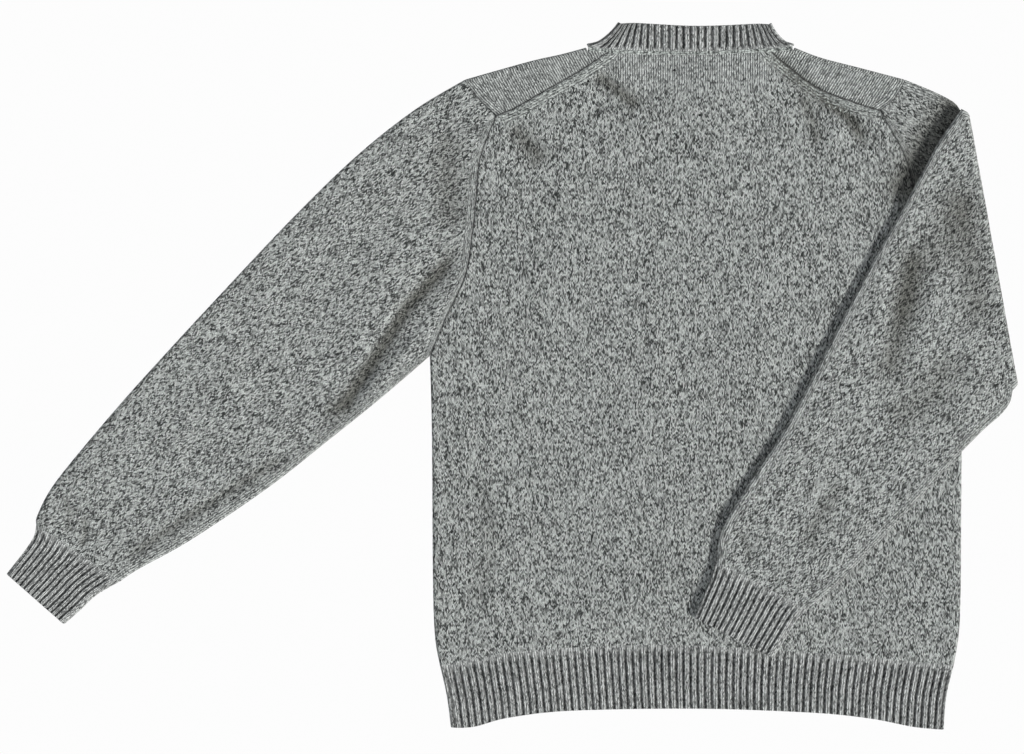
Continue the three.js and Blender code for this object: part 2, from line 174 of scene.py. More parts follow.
def lengths(line):
    """Distance along a line at each of its points."""
    return np.concatenate([[0], np.cumsum(np.linalg.norm(np.diff(line, axis=0), axis=1))])


def along(line, shares):
    """Points at given shares of a line's length."""
    run = lengths(line)
    places = np.asarray(shares) * run[-1]
    return np.stack([np.interp(places, run, line[:, k]) for k in range(line.shape[1])], axis=-1)


def curved(places, count=240):
    """A smooth line through places given in millimetres, as evenly spaced points in metres."""
    p = np.array(places, float) * MM
    ends = np.vstack([p[:1], p, p[-1:]])
    t = np.linspace(0, len(p) - 1, 40 * (len(p) - 1) + 1)
    i = np.minimum(t.astype(int), len(p) - 2)
    f = (t - i)[:, None]
    a, b, c, d = ends[i], ends[i + 1], ends[i + 2], ends[i + 3]
    start, stop = (c - a) / 2, (d - b) / 2
    cube = (2 * b - 2 * c + start + stop) * f ** 3
    square = (3 * c - 3 * b - 2 * start - stop) * f ** 2
    return along(cube + square + start * f + b, np.linspace(0, 1, count + 1))


def across_neck(left_half):
    """The whole of a neckline that is even about its middle, from its left half."""
    return left_half + [[2 * NECK_CENTRE - x, y] for x, y in reversed(left_half[:-1])]


def unit(vector):
    """A direction of length one."""
    return vector / np.linalg.norm(vector)


def sideways(line, side):
    """Directions square to a line at its points, mitred so that offsets stay even."""
    step = np.diff(line, axis=0)
    step = step / np.linalg.norm(step, axis=1)[:, None]
    normal = np.stack([-step[:, 1], step[:, 0]], axis=1) * side
    first = np.vstack([normal[:1], normal])
    second = np.vstack([normal, normal[-1:]])
    mitre = 1 + np.sum(first * second, axis=1, keepdims=True)
    return (first + second) / np.maximum(mitre, 0.6)


def ease(x):
    """From nought to one, slowly at both ends."""
    x = np.clip(x, 0, 1)
    return x * x * (3 - 2 * x)


def nearest(points, line):
    """Distance from each point to a line, and the share of the line's length at the nearest place."""
    best = np.full(points.shape[:-1], np.inf)
    share = np.zeros(points.shape[:-1])
    run = lengths(line)
    for k in range(len(line) - 1):
        way = line[k + 1] - line[k]
        f = np.clip(((points - line[k]) @ way) / (way @ way), 0, 1)
        gap = np.linalg.norm(points - line[k] - f[..., None] * way, axis=-1)
        share = np.where(gap < best, (run[k] + f * (run[k + 1] - run[k])) / run[-1], share)
        best = np.minimum(best, gap)
    return best, share


def creased(plan, creases):
    """How far soft troughs and ridges lift each place."""
    lift = np.zeros(plan.shape[:-1])
    for places, width, height in creases:
        gap, share = nearest(plan, np.array(places, float) * MM)
        fade = ease(share / CREASE_FADE) * ease((1 - share) / CREASE_FADE)
        lift += height * MM * np.exp(-(gap / (width * MM)) ** 2) * fade
    return lift


def off_floor(height):
    """How freely cloth at a height moves: not at all on the floor, and fully in the top layer."""
    return np.clip((height - FLOOR_CLEAR) / (TUBE - FLOOR_CLEAR), 0, 1)


def folds(points):
    """How far creases lift each point of the cloth as it lies, in one layer or folded over."""
    plan, height = points[..., :2], points[..., 2]
    high = np.clip((height - TUBE - SEAM) / TUBE, 0, 1)
    lift = creased(plan, LAID_CREASES) * off_floor(height)
    if high.any():
        lift += creased(plan, FOLDED_CREASES) * high
    return lift


def waved(plan):
    """How far the long waves of the cloth lift each place."""
    lift = np.zeros(plan.shape[:-1])
    for pitch, turn, phase in WAVES:
        pitch = pitch * MM
        run = plan[..., 0] * math.cos(turn) + plan[..., 1] * math.sin(turn)
        drift = WAVE_DRIFT * np.sin(plan[..., 1] / (DRIFT_LENGTH * pitch) + phase)
        lift += WAVE_HEIGHT * pitch * np.sin(2 * math.pi * run / pitch + phase + drift)
    return lift


def settled(points):
    """Lets cloth rise and sink as it lies. Its lowest face stays put, and what lies on it follows."""
    plan, height = points[..., :2], points[..., 2]
    lift = waved(plan) * off_floor(height) + folds(points)
    past_side = ease((plan[..., 0] - BODY_EDGE) / HANG_FADE)
    off_body = past_side * ease((HANG_TOP - plan[..., 1]) / HANG_FADE)
    lift -= HANG * off_body * (height > TUBE + SEAM)
    return np.concatenate([plan, (height + lift)[..., None]], axis=-1)


# ---------- Walls of knit ----------

CURL_ANGLES = np.radians([0, 20, 40, 58, 75, 90])
CLOSE = np.concatenate([EDGE * (1 - np.cos(CURL_ANGLES)), [0.7 * BAND, BAND]])   # columns near a side
LIP_ROWS = np.array([0, 0.3, 0.7, 1.0, 2.0]) * LIP   # rows near a sewn or bound edge
FAR = 1.0                           # a distance past every fashioned band
SEWN = 1.8 * MM                     # how far from a seam its painted shade reaches
RIM_PAINTED_SHADE = 0.75                    # strength of the painted shade on the sides of a curled edge
RIM_STEEP = 1.25                    # how soon that painted shade comes as an edge turns down
SHARP = math.radians(65)            # turns of the surface past this stay crisp
MERGE = 1e-6                        # points of two walls that are closer than this are made one
DEEP = 3.4 * MM                     # depth of a crease at which its painted shade is darkest


def lip(distance):
    """How far a sewn edge is rounded down at a distance from it."""
    x = np.clip(distance / LIP, 0, 1)
    return LIP * (1 - np.sqrt(np.clip(1 - (1 - x) ** 2, 0, 1)))


def outward(base, around):
    """Directions square to a grid's surface."""
    if around:
        over = np.roll(base, -1, axis=1) - np.roll(base, 1, axis=1)
    else:
        over = np.gradient(base, axis=1)
    normal = np.cross(over, np.gradient(base, axis=0))
    return normal / np.linalg.norm(normal, axis=2, keepdims=True)


def placed(name, data):
    """A new object at the origin."""
    obj = bpy.data.objects.new(name, data)
    bpy.context.scene.collection.objects.link(obj)
    return obj


def knit_wall(name, base, drop, cloth, band=None, turn=1, around=False, solid=False,
              rim_low=True, rim_high=True, trough=0.0, clear=0.0, from_seam=FAR):
    """A closed wall of knit on a grid of places, with its outer face lowered by drop.

    cloth holds the place of each point in the knit, across and along its wales. band holds the
    distance to the nearest fashioned edge and the place along it. trough is how deep in a rib a point
    lies, clear how plainly the wales show, and from_seam the distance to a seam, which rounds the wall
    down. turn is -1 where the rows run so that the outer face needs turning over. A solid piece has no
    inner face, and a rim that another wall joins is left out."""
    rows, columns = base.shape[:2]
    drop = np.maximum(drop, lip(from_seam))
    # Painted shade: the sewn mark darkens the colour in the groove along a seam.
    sewn = np.clip(1 - from_seam / SEWN, 0, 1)
    normal = turn * outward(base, around)
    # Painted shade for creases and for the steep sides of curled edges, darker the deeper a crease lies.
    steep = np.clip(1 - RIM_STEEP * np.abs(normal[..., 2]), 0, 1)
    painted_shade = np.clip(-folds(base) / DEEP + RIM_PAINTED_SHADE * steep, 0, 1)
    layers = [settled(base - normal * drop[..., None])]
    if not solid:
        layers.append(settled(base - normal * WALL))
    index = np.arange(rows * columns).reshape(rows, columns)
    wrap = np.hstack([index, index[:, :1]]) if around else index
    skin = np.stack([wrap[:-1, :-1], wrap[:-1, 1:], wrap[1:, 1:], wrap[1:, :-1]], axis=-1).reshape(-1, 4)
    faces = [skin]
    if not solid:
        inside = rows * columns
        faces.append(skin[:, ::-1] + inside)
        low = np.broadcast_to(rim_low, wrap.shape[1] - 1)
        high = np.broadcast_to(rim_high, wrap.shape[1] - 1)
        rims = [(wrap[0, 1:][low], wrap[0, :-1][low]), (wrap[-1, :-1][high], wrap[-1, 1:][high])]
        if not around:
            rims += [(index[:-1, 0], index[1:, 0]), (index[1:, -1], index[:-1, -1])]
        for first, second in rims:
            faces.append(np.stack([first, second, second + inside, first + inside], axis=-1))
    faces = np.concatenate(faces)
    if turn < 0:
        faces = faces[:, ::-1]
    mesh = bpy.data.meshes.new(name)
    points = np.concatenate([layer.reshape(-1, 3) for layer in layers])
    mesh.from_pydata(points.tolist(), [], faces.tolist())
    if band is None:
        band = np.full(cloth.shape, FAR)
    for map_name, places in (("knit", cloth), ("band", band)):
        spread = np.concatenate([places.reshape(-1, 2)] * len(layers))[faces]
        mesh.uv_layers.new(name=map_name).data.foreach_set("uv", spread.reshape(-1).astype(np.float32))
    for mark, amount in (("trough", trough), ("clear", clear), ("sewn", sewn), ("painted_shade", painted_shade)):
        spread = np.concatenate([np.broadcast_to(amount, (rows, columns)).reshape(-1)] * len(layers))
        mesh.attributes.new(mark, "FLOAT", "POINT").data.foreach_set("value", spread.astype(np.float32))
    return placed(name, mesh)


def as_one(name, pieces):
    """Several walls that share edges, made into one closed piece."""
    bpy.ops.object.select_all(action="DESELECT")
    for piece in pieces:
        piece.select_set(True)
    bpy.context.view_layer.objects.active = pieces[0]
    if len(pieces) > 1:
        bpy.ops.object.join()
    whole = pieces[0]
    whole.name = name
    whole.data.name = name
    bpy.ops.object.mode_set(mode="EDIT")
    bpy.ops.mesh.select_all(action="SELECT")
    bpy.ops.mesh.remove_doubles(threshold=MERGE)
    bpy.ops.object.mode_set(mode="OBJECT")
    whole.data.shade_smooth()
    whole.data.set_sharp_from_angle(angle=SHARP)
    return whole


def turned(plan, wales):
    """Places in the knit, across and along wales that run one way."""
    way = np.array(wales)
    return np.stack([plan @ np.array([way[1], -way[0]]), plan @ way], axis=-1)


class Panel:
    """Rows of places from a left to a right edge, closer together near both, with their distances."""

    def __init__(self, left, right, columns, low=None, high=None, close=CLOSE):
        rows = len(left)
        width = np.linalg.norm(right - left, axis=1)[:, None]
        near = np.broadcast_to(close, (rows, len(close)))
        between = close[-1] + (width - 2 * close[-1]) * np.linspace(0, 1, columns + 1)[1:-1]
        self.share = np.concatenate([near, between, width - near[:, ::-1]], axis=1) / width
        self.plan = left[:, None] + (right - left)[:, None] * self.share[..., None]
        up = (lengths(left) / lengths(left)[-1])[:, None] + 0 * self.share
        for bow, row, weight in ((low, 0, 1 - up), (high, -1, up ** 4)):
            if bow is not None:
                chord = left[row] + (right[row] - left[row]) * self.share[row][:, None]
                self.plan = self.plan + (along(bow, self.share[row]) - chord) * weight[..., None]
        self.from_left, place = nearest(self.plan, left)
        self.run_left = place * lengths(left)[-1]
        self.from_right, place = nearest(self.plan, right)
        self.run_right = place * lengths(right)[-1]
        self.from_low = np.linalg.norm(self.plan - self.plan[:1], axis=2)
        self.from_high = np.linalg.norm(self.plan - self.plan[-1:], axis=2)

    def curl(self, distance):
        """Height over the middle of a side edge that curls round to the other wall."""
        x = np.clip(1 - distance / EDGE, 0, 1)
        return EDGE * np.sqrt(1 - x ** 2)


def raised(plan, height):
    """Places in the plan, each at its own height."""
    return np.concatenate([plan, height[..., None]], axis=-1)


def rows_on(runs, shares):
    """Points along several runs of an edge, at shares of each run's length."""
    parts = [along(curved(places), share) for places, share in zip(runs, shares)]
    return np.vstack([parts[0]] + [part[1:] for part in parts[1:]])


def even(count):
    """Even shares from nought to one."""
    return np.linspace(0, 1, count + 1)


def closer_at_end(shares, length):
    """The same shares, with rows added close to the end."""
    extra = 1 - LIP_ROWS / length
    return np.concatenate([shares[shares < extra.min() - 0.002], extra[::-1]])


UNDERARM_FADE = 12 * MM             # length of side over which the curl gives way to the armhole's seam


def past_underarm(run, end):
    """One where a side's edge is sewn to a sleeve, nought where it curls under."""
    return ease((run - end + UNDERARM_FADE / 2) / UNDERARM_FADE)


def body_curl(panel, underarm):
    """Heights of a body panel, whose sides curl under up to the armholes and are sewn above them."""
    height = 0
    for distance, run, end in ((panel.from_left, panel.run_left, underarm[0]),
                               (panel.from_right, panel.run_right, underarm[1])):
        height = height + (panel.curl(distance) - EDGE) * (1 - past_underarm(run, end))
    return EDGE + height


def from_seams(panel, underarm):
    """Distance to the nearest seam at the top or at the sides, which are sewn from the underarm up."""
    gap = panel.from_high
    for distance, run, end in ((panel.from_left, panel.run_left, underarm[0]),
                               (panel.from_right, panel.run_right, underarm[1])):
        gap = np.minimum(gap, distance + BAND * (1 - past_underarm(run, end)))
    return gap


def seam_band(panel, starts):
    """Distance to the nearer sewn edge and the place along it, from where each seam starts."""
    on_left = panel.from_left < panel.from_right
    distance = np.where(on_left, panel.from_left, panel.from_right)
    run = np.where(on_left, panel.run_left, panel.run_right)
    start = np.where(on_left, starts[0], starts[1])
    return np.stack([np.where(run > start, distance, FAR), run], axis=-1)


SIDE_LENGTHS = [lengths(curved(side))[-1] for side in (LEFT_SIDE, RIGHT_SIDE)]


# ---------- Body ----------

BACK_ROWS = (74, 64, 34)            # rows along its side, its armhole and its shoulder
BACK_COLUMNS = 120
# Under the neck the knit is stretched, and its wales are plain.
NECK_STRETCH = np.array([NECK_CENTRE, 330]) * MM
STRETCH_REACH = 105 * MM
STRETCH_FOOT = 262 * MM
STRETCH_CLEAR = 0.85


def back_panel():
    """The back lies on top. Its sides curl under to meet the front."""
    shoulder_length = lengths(curved(LEFT_BACK_SHOULDER))[-1]
    on_side, on_hole, on_shoulder = (even(count) for count in BACK_ROWS)
    shares = (on_side, on_hole, closer_at_end(on_shoulder, 0.5 * shoulder_length))
    left = rows_on((LEFT_SIDE, LEFT_BACK_ARMHOLE, LEFT_BACK_SHOULDER), shares)
    right = rows_on((RIGHT_SIDE, RIGHT_BACK_ARMHOLE, RIGHT_BACK_SHOULDER), shares)
    panel = Panel(left, right, BACK_COLUMNS, curved(HEM_SEAM), curved(PANEL_NECK_SEAM))
    base = raised(panel.plan, MID + body_curl(panel, SIDE_LENGTHS))
    starts = [lengths(curved(side))[-1] + lengths(curved(hole))[-1] for side, hole in
              ((LEFT_SIDE, LEFT_BACK_ARMHOLE), (RIGHT_SIDE, RIGHT_BACK_ARMHOLE))]
    band = seam_band(panel, starts)
    beside_neck = np.linalg.norm(panel.plan - NECK_STRETCH, axis=2)
    above_foot = ease((panel.plan[..., 1] - STRETCH_FOOT) / (45 * MM))
    clear = STRETCH_CLEAR * above_foot * ease((STRETCH_REACH - beside_neck) / (30 * MM))
    return as_one("back_knit", [knit_wall("back", base, 0 * clear, panel.plan, band, clear=clear,
                                          from_seam=from_seams(panel, SIDE_LENGTHS))])


def rib_drop(turns):
    """How deep in a trough each place lies, how far below the crest, and its place across the wales.

    Each repeat is two knit wales with a crease between them, then a trough of purl."""
    x = np.mod(turns, 1)
    past = (x - CREST_SHARE) / (1 - CREST_SHARE)
    trough = np.where(past > 0, 0.5 - 0.5 * np.cos(2 * math.pi * past), 0) ** 0.55
    wale = x / (CREST_SHARE / 2)
    crease = np.where(past > 0, 0, np.cos(math.pi * np.clip(wale, 0, 2)) ** 8)
    across = np.where(past > 0, 2 + past, wale) + 3 * np.floor(turns)
    return trough, RIB_DEPTH * (trough + 0.3 * crease), across * WALE


HEM_HEIGHT = 64 * MM
HEM_ROWS = 16


def hem_rib(name, side):
    """The rib of the back's hem where side is 1, and of the front's where it is -1."""
    rows = np.concatenate([LIP_ROWS / HEM_HEIGHT, even(HEM_ROWS)[1:]])
    left = rows_on((LEFT_RIB_SIDE,), (rows,))
    right = rows_on((RIGHT_RIB_SIDE,), (rows,))
    panel = Panel(left, right, 8 * HEM_RIBS, curved(HEM_EDGE), curved(HEM_SEAM), CLOSE[:7])
    trough, depth, across = rib_drop(panel.share * HEM_RIBS + HEM_PHASE)
    fade = ease(panel.from_high / RIB_START) * 0.95 + 0.05
    drop = np.maximum(depth * fade, lip(panel.from_low))
    curl = panel.curl(panel.from_left) + panel.curl(panel.from_right) - EDGE
    base = raised(panel.plan, MID + side * curl)
    cloth = np.stack([across, panel.plan[..., 1]], axis=-1)
    return as_one(name, [knit_wall(name, base, drop, cloth, turn=side, trough=trough * fade,
                                   clear=RIB_CLEAR)])


DIP_ENDS = (0.27, 0.73)             # shares of the front neckline between which it is the main panel's edge


def front_panel():
    """The front lies underneath. Its shoulders turn over the top, down to the back shoulder seams."""
    neck = curved(across_neck(FRONT_NECK_HALF), 400)
    shares = (even(60), even(40))
    left = rows_on((LEFT_SIDE, LEFT_FRONT_ARMHOLE[:YOKE_START + 1]), shares)
    right = rows_on((RIGHT_SIDE, RIGHT_FRONT_ARMHOLE[:YOKE_START + 1]), shares)
    dip = along(neck, np.linspace(*DIP_ENDS, 41))
    yoke = yoke_shares()
    top = np.vstack([left[-1] + (dip[0] - left[-1]) * yoke[:, None], dip[1:],
                     dip[-1] + (right[-1] - dip[-1]) * (1 - yoke[::-1])[1:, None]])
    share = lengths(top) / lengths(top)[-1]
    up = (lengths(left) / lengths(left)[-1])[:, None, None]
    chord = left[:, None] + (right - left)[:, None] * share[None, :, None]
    low_bow = along(curved(HEM_SEAM), share) - chord[0]
    high_bow = top - chord[-1]
    plan = chord + low_bow * (1 - up) + high_bow * up ** 4
    width = np.linalg.norm(right - left, axis=1)[:, None]
    from_left, from_right = width * share, width * (1 - share)
    height = 0
    for distance, edge, end in ((from_left, left, SIDE_LENGTHS[0]), (from_right, right, SIDE_LENGTHS[1])):
        x = np.clip(1 - distance / EDGE, 0, 1)
        curled = 1 - past_underarm(lengths(edge), end)
        height = height + EDGE * (1 - np.sqrt(1 - x ** 2)) * curled[:, None]
    base = raised(plan, MID - EDGE + height)
    joins = np.ones(len(share) - 1, bool)
    joins[:len(yoke) - 1] = False
    joins[-(len(yoke) - 1):] = False
    main = knit_wall("front", base, np.zeros(height.shape), plan, turn=-1, rim_high=joins)
    yokes = [front_yoke("yoke_left", LEFT_FRONT_ARMHOLE[YOKE_START:], LEFT_SHOULDER, LEFT_BACK_SHOULDER,
                        LEFT_SLEEVE_TOP, along(neck, np.linspace(DIP_ENDS[0], 0, 60)), 1),
             front_yoke("yoke_right", RIGHT_FRONT_ARMHOLE[YOKE_START:], RIGHT_SHOULDER, RIGHT_BACK_SHOULDER,
                        RIGHT_SLEEVE_TOP, along(neck, np.linspace(DIP_ENDS[1], 1, 60)), -1)]
    return as_one("front_knit", [main] + yokes)


def yoke_shares():
    """Shares along a shoulder, closer together near its two ends."""
    close = LIP_ROWS / (125 * MM)
    return np.concatenate([close, np.linspace(close[-1], 1 - close[-1], 43)[1:-1], 1 - close[::-1]])


YOKE_ROWS = 24                      # rows of a shoulder underneath
OVER_ROWS = 20                      # rows of a shoulder that lie on top
OVER_LENGTH = 50 * MM               # about how far it comes over the top


def front_yoke(name, armhole, fold, back_seam, sleeve_top, neck, side):
    """One shoulder: up underneath, round the fold at the top, and down over the back to its seam."""
    share = yoke_shares()
    hole = curved(armhole)
    fold_line = along(curved(fold), share)
    inward = sideways(fold_line, -side)
    flat = fold_line + inward * EDGE
    seam = along(curved(back_seam), share)
    way = unit(fold_line[-1] - fold_line[0])
    plans, heights, knits = [], [], []

    def below(t):
        return along(hole, t) + (along(neck, t) - along(hole, t)) * share[:, None]

    for t in even(YOKE_ROWS)[:-1]:
        plans.append(below(t) + (flat - below(1.0)) * t ** 2)
        heights.append(MID - EDGE)
        knits.append(plans[-1])
    for angle in np.radians(np.linspace(-90, 90, 11)):
        plans.append(flat - inward * EDGE * math.cos(angle))
        heights.append(MID + EDGE * math.sin(angle))
        knits.append(flat - inward * EDGE * (angle + math.pi / 2))
    over = closer_at_end(even(OVER_ROWS), OVER_LENGTH)[1:]
    end = curved(sleeve_top[::-1])
    for t in over:
        bow = along(end, t) - end[0] * (1 - t) - end[-1] * t
        plans.append(flat * (1 - t) + seam * t + bow * (1 - share[:, None]) ** 4)
        heights.append(MID + EDGE)
        away = plans[-1] - fold_line[0]
        knits.append(fold_line[0] + 2 * (away @ way)[:, None] * way - away - inward * EDGE * (math.pi - 2))
    plan = np.stack(plans)
    base = raised(plan, np.array(heights)[:, None] + 0 * share)
    from_end = np.minimum(share, 1 - share) * lengths(fold_line)[-1]
    on_top = np.arange(len(plan)) >= len(plan) - len(over)
    from_back = np.where(on_top[:, None], np.linalg.norm(plan - plan[-1:], axis=2), FAR)
    rows = np.linalg.norm(np.diff(plan, axis=0, prepend=plan[:1]), axis=2)
    run = np.cumsum(rows, axis=0)
    across = share * lengths(fold_line)[-1]
    band = np.stack([np.broadcast_to(across, run.shape), run], axis=-1)
    plain = 1.0 * (np.arange(len(plan)) >= YOKE_ROWS)[:, None]
    return knit_wall(name, base, np.zeros(run.shape), np.stack(knits), band, turn=-side, rim_low=False,
                     clear=plain, from_seam=np.minimum(from_back, from_end))


# ---------- Sleeves and cuffs ----------

UP = np.array([0, 0, 1.0])
HEAD_FADE = 230 * MM                # length over which the left sleeve's loops straighten out
ROOT_FADE = 62 * MM                 # the same on the right sleeve
SLEEVE_TOP = 46 * MM                # length of seam at the top of a sleeve that has no fashioned band
FOLD_CORNER = 3.8 * MM              # how far the fold's two ends are rounded off
FOLD_STEPS = 12                     # steps round the fold
ROOT_LENGTH = 60 * MM               # about the length of the right sleeve's root
ROOT_ROWS, FOLDED_ROWS, SLEEVE_ROWS = 12, 149, 164
HEAD_SHARES = (even(60), even(240))


def loop_places(width, radius, straight, bends=4):
    """Distances across and heights round a flat loop: over its top, round its far edge and back."""
    over = radius + (width - 2 * radius) * straight
    bend = np.radians(np.linspace(90, -90, bends + 2))[1:-1]
    high = np.full(over.shape, radius)
    distance = np.concatenate([over, width - radius + radius * np.cos(bend), over[::-1],
                               radius - radius * np.cos(bend)])
    height = np.concatenate([high, radius * np.sin(bend), -high, -radius * np.sin(bend)])
    top = np.concatenate([np.ones(len(over) + len(bend) // 2), np.zeros(len(over) + len(bend)),
                          np.ones(len(bend) - len(bend) // 2)])
    return distance, height, top


def sleeve_tube(uppers, lowers, facings, straight, head=None, head_rows=0):
    """Loops of places round a flattened tube. facing points from its front wall to its back wall.

    head holds the lines that its first loop follows on the back and on the front wall. The later
    loops straighten out over head_rows of the tube."""
    run = lengths((uppers + lowers)[:, :2] / 2)
    grid, across, width_of = [], [], []
    for row, (upper, lower, facing) in enumerate(zip(uppers, lowers, facings)):
        width = np.linalg.norm(lower - upper)
        way = (lower - upper) / width
        distance, height, top = loop_places(width, EDGE, straight)
        ring = upper + way * distance[:, None] + facing * height[:, None]
        if head is not None:
            keep = 1 - ease(run[row] / head_rows)
            share = distance / width
            for wall, line in ((top, head[0]), (1 - top, head[1])):
                first = uppers[0][:2] + (lowers[0] - uppers[0])[:2] * share[:, None]
                shift = (along(line, share) - first) * (wall * keep)[:, None]
                ring[:, :2] += shift
        grid.append(ring)
        across.append(distance)
        width_of.append(np.full(distance.shape, width))
    return np.stack(grid), np.stack(across), np.stack(width_of)


def sleeve_columns():
    """Shares across a sleeve's wall, closer together near its edges."""
    close = np.array([0, 0.012, 0.03])
    return np.concatenate([close, np.linspace(0.05, 0.95, 52), 1 - close[::-1]])


def level(points, height):
    """Places in the plan, all at one height."""
    return np.hstack([points, np.full((len(points), 1), height)])


def from_start(grid):
    """Distance of each place from the grid's first row."""
    return np.linalg.norm(grid - grid[:1], axis=2)


def head_band(grid, across, width, head_line, upper_band):
    """The distance to the head seam or to a fashioned side, whichever is nearer, and the place along it."""
    place = across / width * lengths(head_line)[-1]
    from_head = np.where(place < SLEEVE_TOP, FAR, from_start(grid))
    edge = np.minimum(across, width - across) if upper_band else width - across
    centre = grid.mean(axis=1)
    run = lengths(centre)[:, None] + 0 * edge
    nearer = from_head < edge
    return np.stack([np.where(nearer, from_head, edge), np.where(nearer, place, run)], axis=-1)


def sleeve_left():
    """The left sleeve, stretched out on the floor."""
    run = lengths(curved(LEFT_UPPER))[-1]
    shares = np.concatenate([LIP_ROWS / run, even(SLEEVE_ROWS)[1:]])
    uppers = level(along(curved(LEFT_UPPER), shares), MID)
    lowers = level(along(curved(LEFT_LOWER), shares), MID)
    head_back = rows_on((LEFT_SLEEVE_TOP[::-1], LEFT_BACK_ARMHOLE[::-1]), HEAD_SHARES)
    head_front = curved(LEFT_FRONT_ARMHOLE[::-1])
    grid, across, width = sleeve_tube(uppers, lowers, [UP] * len(uppers), sleeve_columns(),
                                      (head_back, head_front), HEAD_FADE)
    band = head_band(grid, across, width, head_back, False)
    cloth = turned(grid[..., :2], LEFT_WALES)
    return as_one("left_sleeve_knit", [knit_wall("left_sleeve", grid, 0 * across, cloth, band, turn=-1,
                                                 around=True, from_seam=from_start(grid))])


def sleeve_right():
    """The right sleeve: its root on the floor, the turn, and the length that lies on the body."""
    root_shares = np.concatenate([LIP_ROWS / ROOT_LENGTH, even(ROOT_ROWS)[1:]])
    root_upper, root_lower = (along(curved(edge), root_shares) for edge in (ROOT_UPPER, ROOT_LOWER))
    shares = even(FOLDED_ROWS)
    upper, lower = (along(curved(edge), shares) for edge in (RIGHT_UPPER, RIGHT_LOWER))
    axis_top, axis_foot = (np.array(place) * MM for place in (FOLD_UPPER, FOLD_LOWER))
    way = unit(axis_foot - axis_top)
    out = np.array([-way[1], way[0]])
    uppers = list(level(root_upper, MID))
    lowers = list(level(root_lower, MID))
    facings = [UP] * len(uppers)
    for angle in np.radians(np.linspace(0, 180, FOLD_STEPS + 1))[1:-1]:
        reach = out * FOLD_RADIUS * math.sin(angle)
        rounding = way * FOLD_CORNER * math.sin(angle)
        height = MID + FOLD_RADIUS * (1 - math.cos(angle))
        uppers.append(np.append(axis_top + reach + rounding, height))
        lowers.append(np.append(axis_foot + reach - rounding, height))
        facings.append(np.array([*(-out * math.sin(angle)), math.cos(angle)]))
    bend_end = len(uppers)
    uppers += list(level(upper, FOLDED_MID))
    lowers += list(level(lower, FOLDED_MID))
    facings += [-UP] * len(upper)
    head_back = rows_on((RIGHT_SLEEVE_TOP[::-1], RIGHT_BACK_ARMHOLE[::-1]), HEAD_SHARES)
    head_front = curved(RIGHT_FRONT_ARMHOLE[::-1])
    grid, across, width = sleeve_tube(np.array(uppers), np.array(lowers), facings, sleeve_columns(),
                                      (head_back, head_front), ROOT_FADE)
    band = head_band(grid, across, width, head_back, True)
    folded = (np.arange(len(grid)) >= bend_end - FOLD_STEPS // 2)[:, None, None]
    cloth = np.where(folded, turned(grid[..., :2], FOLDED_WALES), turned(grid[..., :2], ROOT_WALES))
    return as_one("right_sleeve_knit", [knit_wall("right_sleeve", grid, 0 * across, cloth, band,
                                                  around=True, from_seam=from_start(grid))])


CUFF_HEIGHT = 55 * MM               # about the length of a cuff, by which its edge rows are spaced
CUFF_ROWS = 16


def cuff(name, upper_places, lower_places, height, facing, turn):
    """A ribbed tube from the sleeve's seam to its bound end."""
    shares = np.concatenate([even(CUFF_ROWS)[:-1], 1 - LIP_ROWS[::-1] / CUFF_HEIGHT])
    uppers = level(along(curved(upper_places), shares), height)
    lowers = level(along(curved(lower_places), shares), height)
    grid, across, width = sleeve_tube(uppers, lowers, [facing] * len(uppers), even(8 * CUFF_RIBS))
    trough, depth, places = rib_drop(across / width * CUFF_RIBS + CUFF_PHASE)
    fade = ease(from_start(grid) / RIB_START) * 0.9 + 0.1
    drop = np.maximum(CUFF_RELIEF * depth * fade, lip(from_start(grid[::-1])[::-1]))
    cloth = np.stack([places, from_start(grid)], axis=-1)
    return as_one(name, [knit_wall(name, grid, drop, cloth, turn=turn, around=True, trough=trough * fade,
                                   clear=RIB_CLEAR)])


# ---------- Neckband ----------

FAN_REACH = 66 * MM                 # length of seam at each end over which the ribs fan out
FAN_POWER = 1.7                     # how soon they straighten
CORNER_REACH = 9 * MM               # how far in from the band's ends their shape shows
CORNER_BOW = 3.2 * MM               # how far its ends are hollowed
CORNER_INSET = 1.3 * MM             # how far its ends are drawn in above the seam
CORNER_FOOT = 1.8 * MM              # how far its ends reach over the shoulders at the seam
CORNER_TIP = 2.6 * MM               # how far its top corners lean towards the neck's middle


def hollow_ended(grid, seam, edge):
    """Draws both ends of the neckband in, where it turns under, and hollows them."""
    for end, side in ((0, 1), (-1, -1)):
        way = edge[end] - seam[end]
        length = np.linalg.norm(way)
        way = way / length
        inward = np.array([way[1], -way[0]]) * side
        rel = grid[..., :2] - seam[end]
        up = np.clip(rel @ way / length, 0, 1)
        near = np.exp(-(np.maximum(rel @ inward, 0) / CORNER_REACH) ** 2) * (rel @ way > -0.2 * length)
        rise = ease(3 * up)
        bow = (CORNER_BOW * np.sin(math.pi * up) + CORNER_INSET * rise - CORNER_FOOT * (1 - rise)) * near
        grid[..., :2] += inward * bow[..., None]
        grid[..., 0] += side * CORNER_TIP * ease(1.4 * up - 0.4) * near


def fanned(x, end_low, end_high, offset_low, offset_high):
    """Where a rib that starts at x on the seam meets the band's top edge."""
    low = np.clip(1 - (x - end_low) / FAN_REACH, 0, 1) ** FAN_POWER
    high = np.clip(1 - (end_high - x) / FAN_REACH, 0, 1) ** FAN_POWER
    return x + offset_low * low - offset_high * high


def drawn_in(line, inset):
    """A line shortened at both ends."""
    run = lengths(line)[-1]
    return along(line, np.linspace(inset / run, 1 - inset / run, len(line)))


def reaching(line, target):
    """A line bent near its ends so that they meet another line's ends."""
    share = np.linspace(0, 1, len(line))[:, None]
    low, high = ease(1 - share / 0.12), ease(1 - (1 - share) / 0.12)
    return line + (target[0] - line[0]) * low + (target[-1] - line[-1]) * high


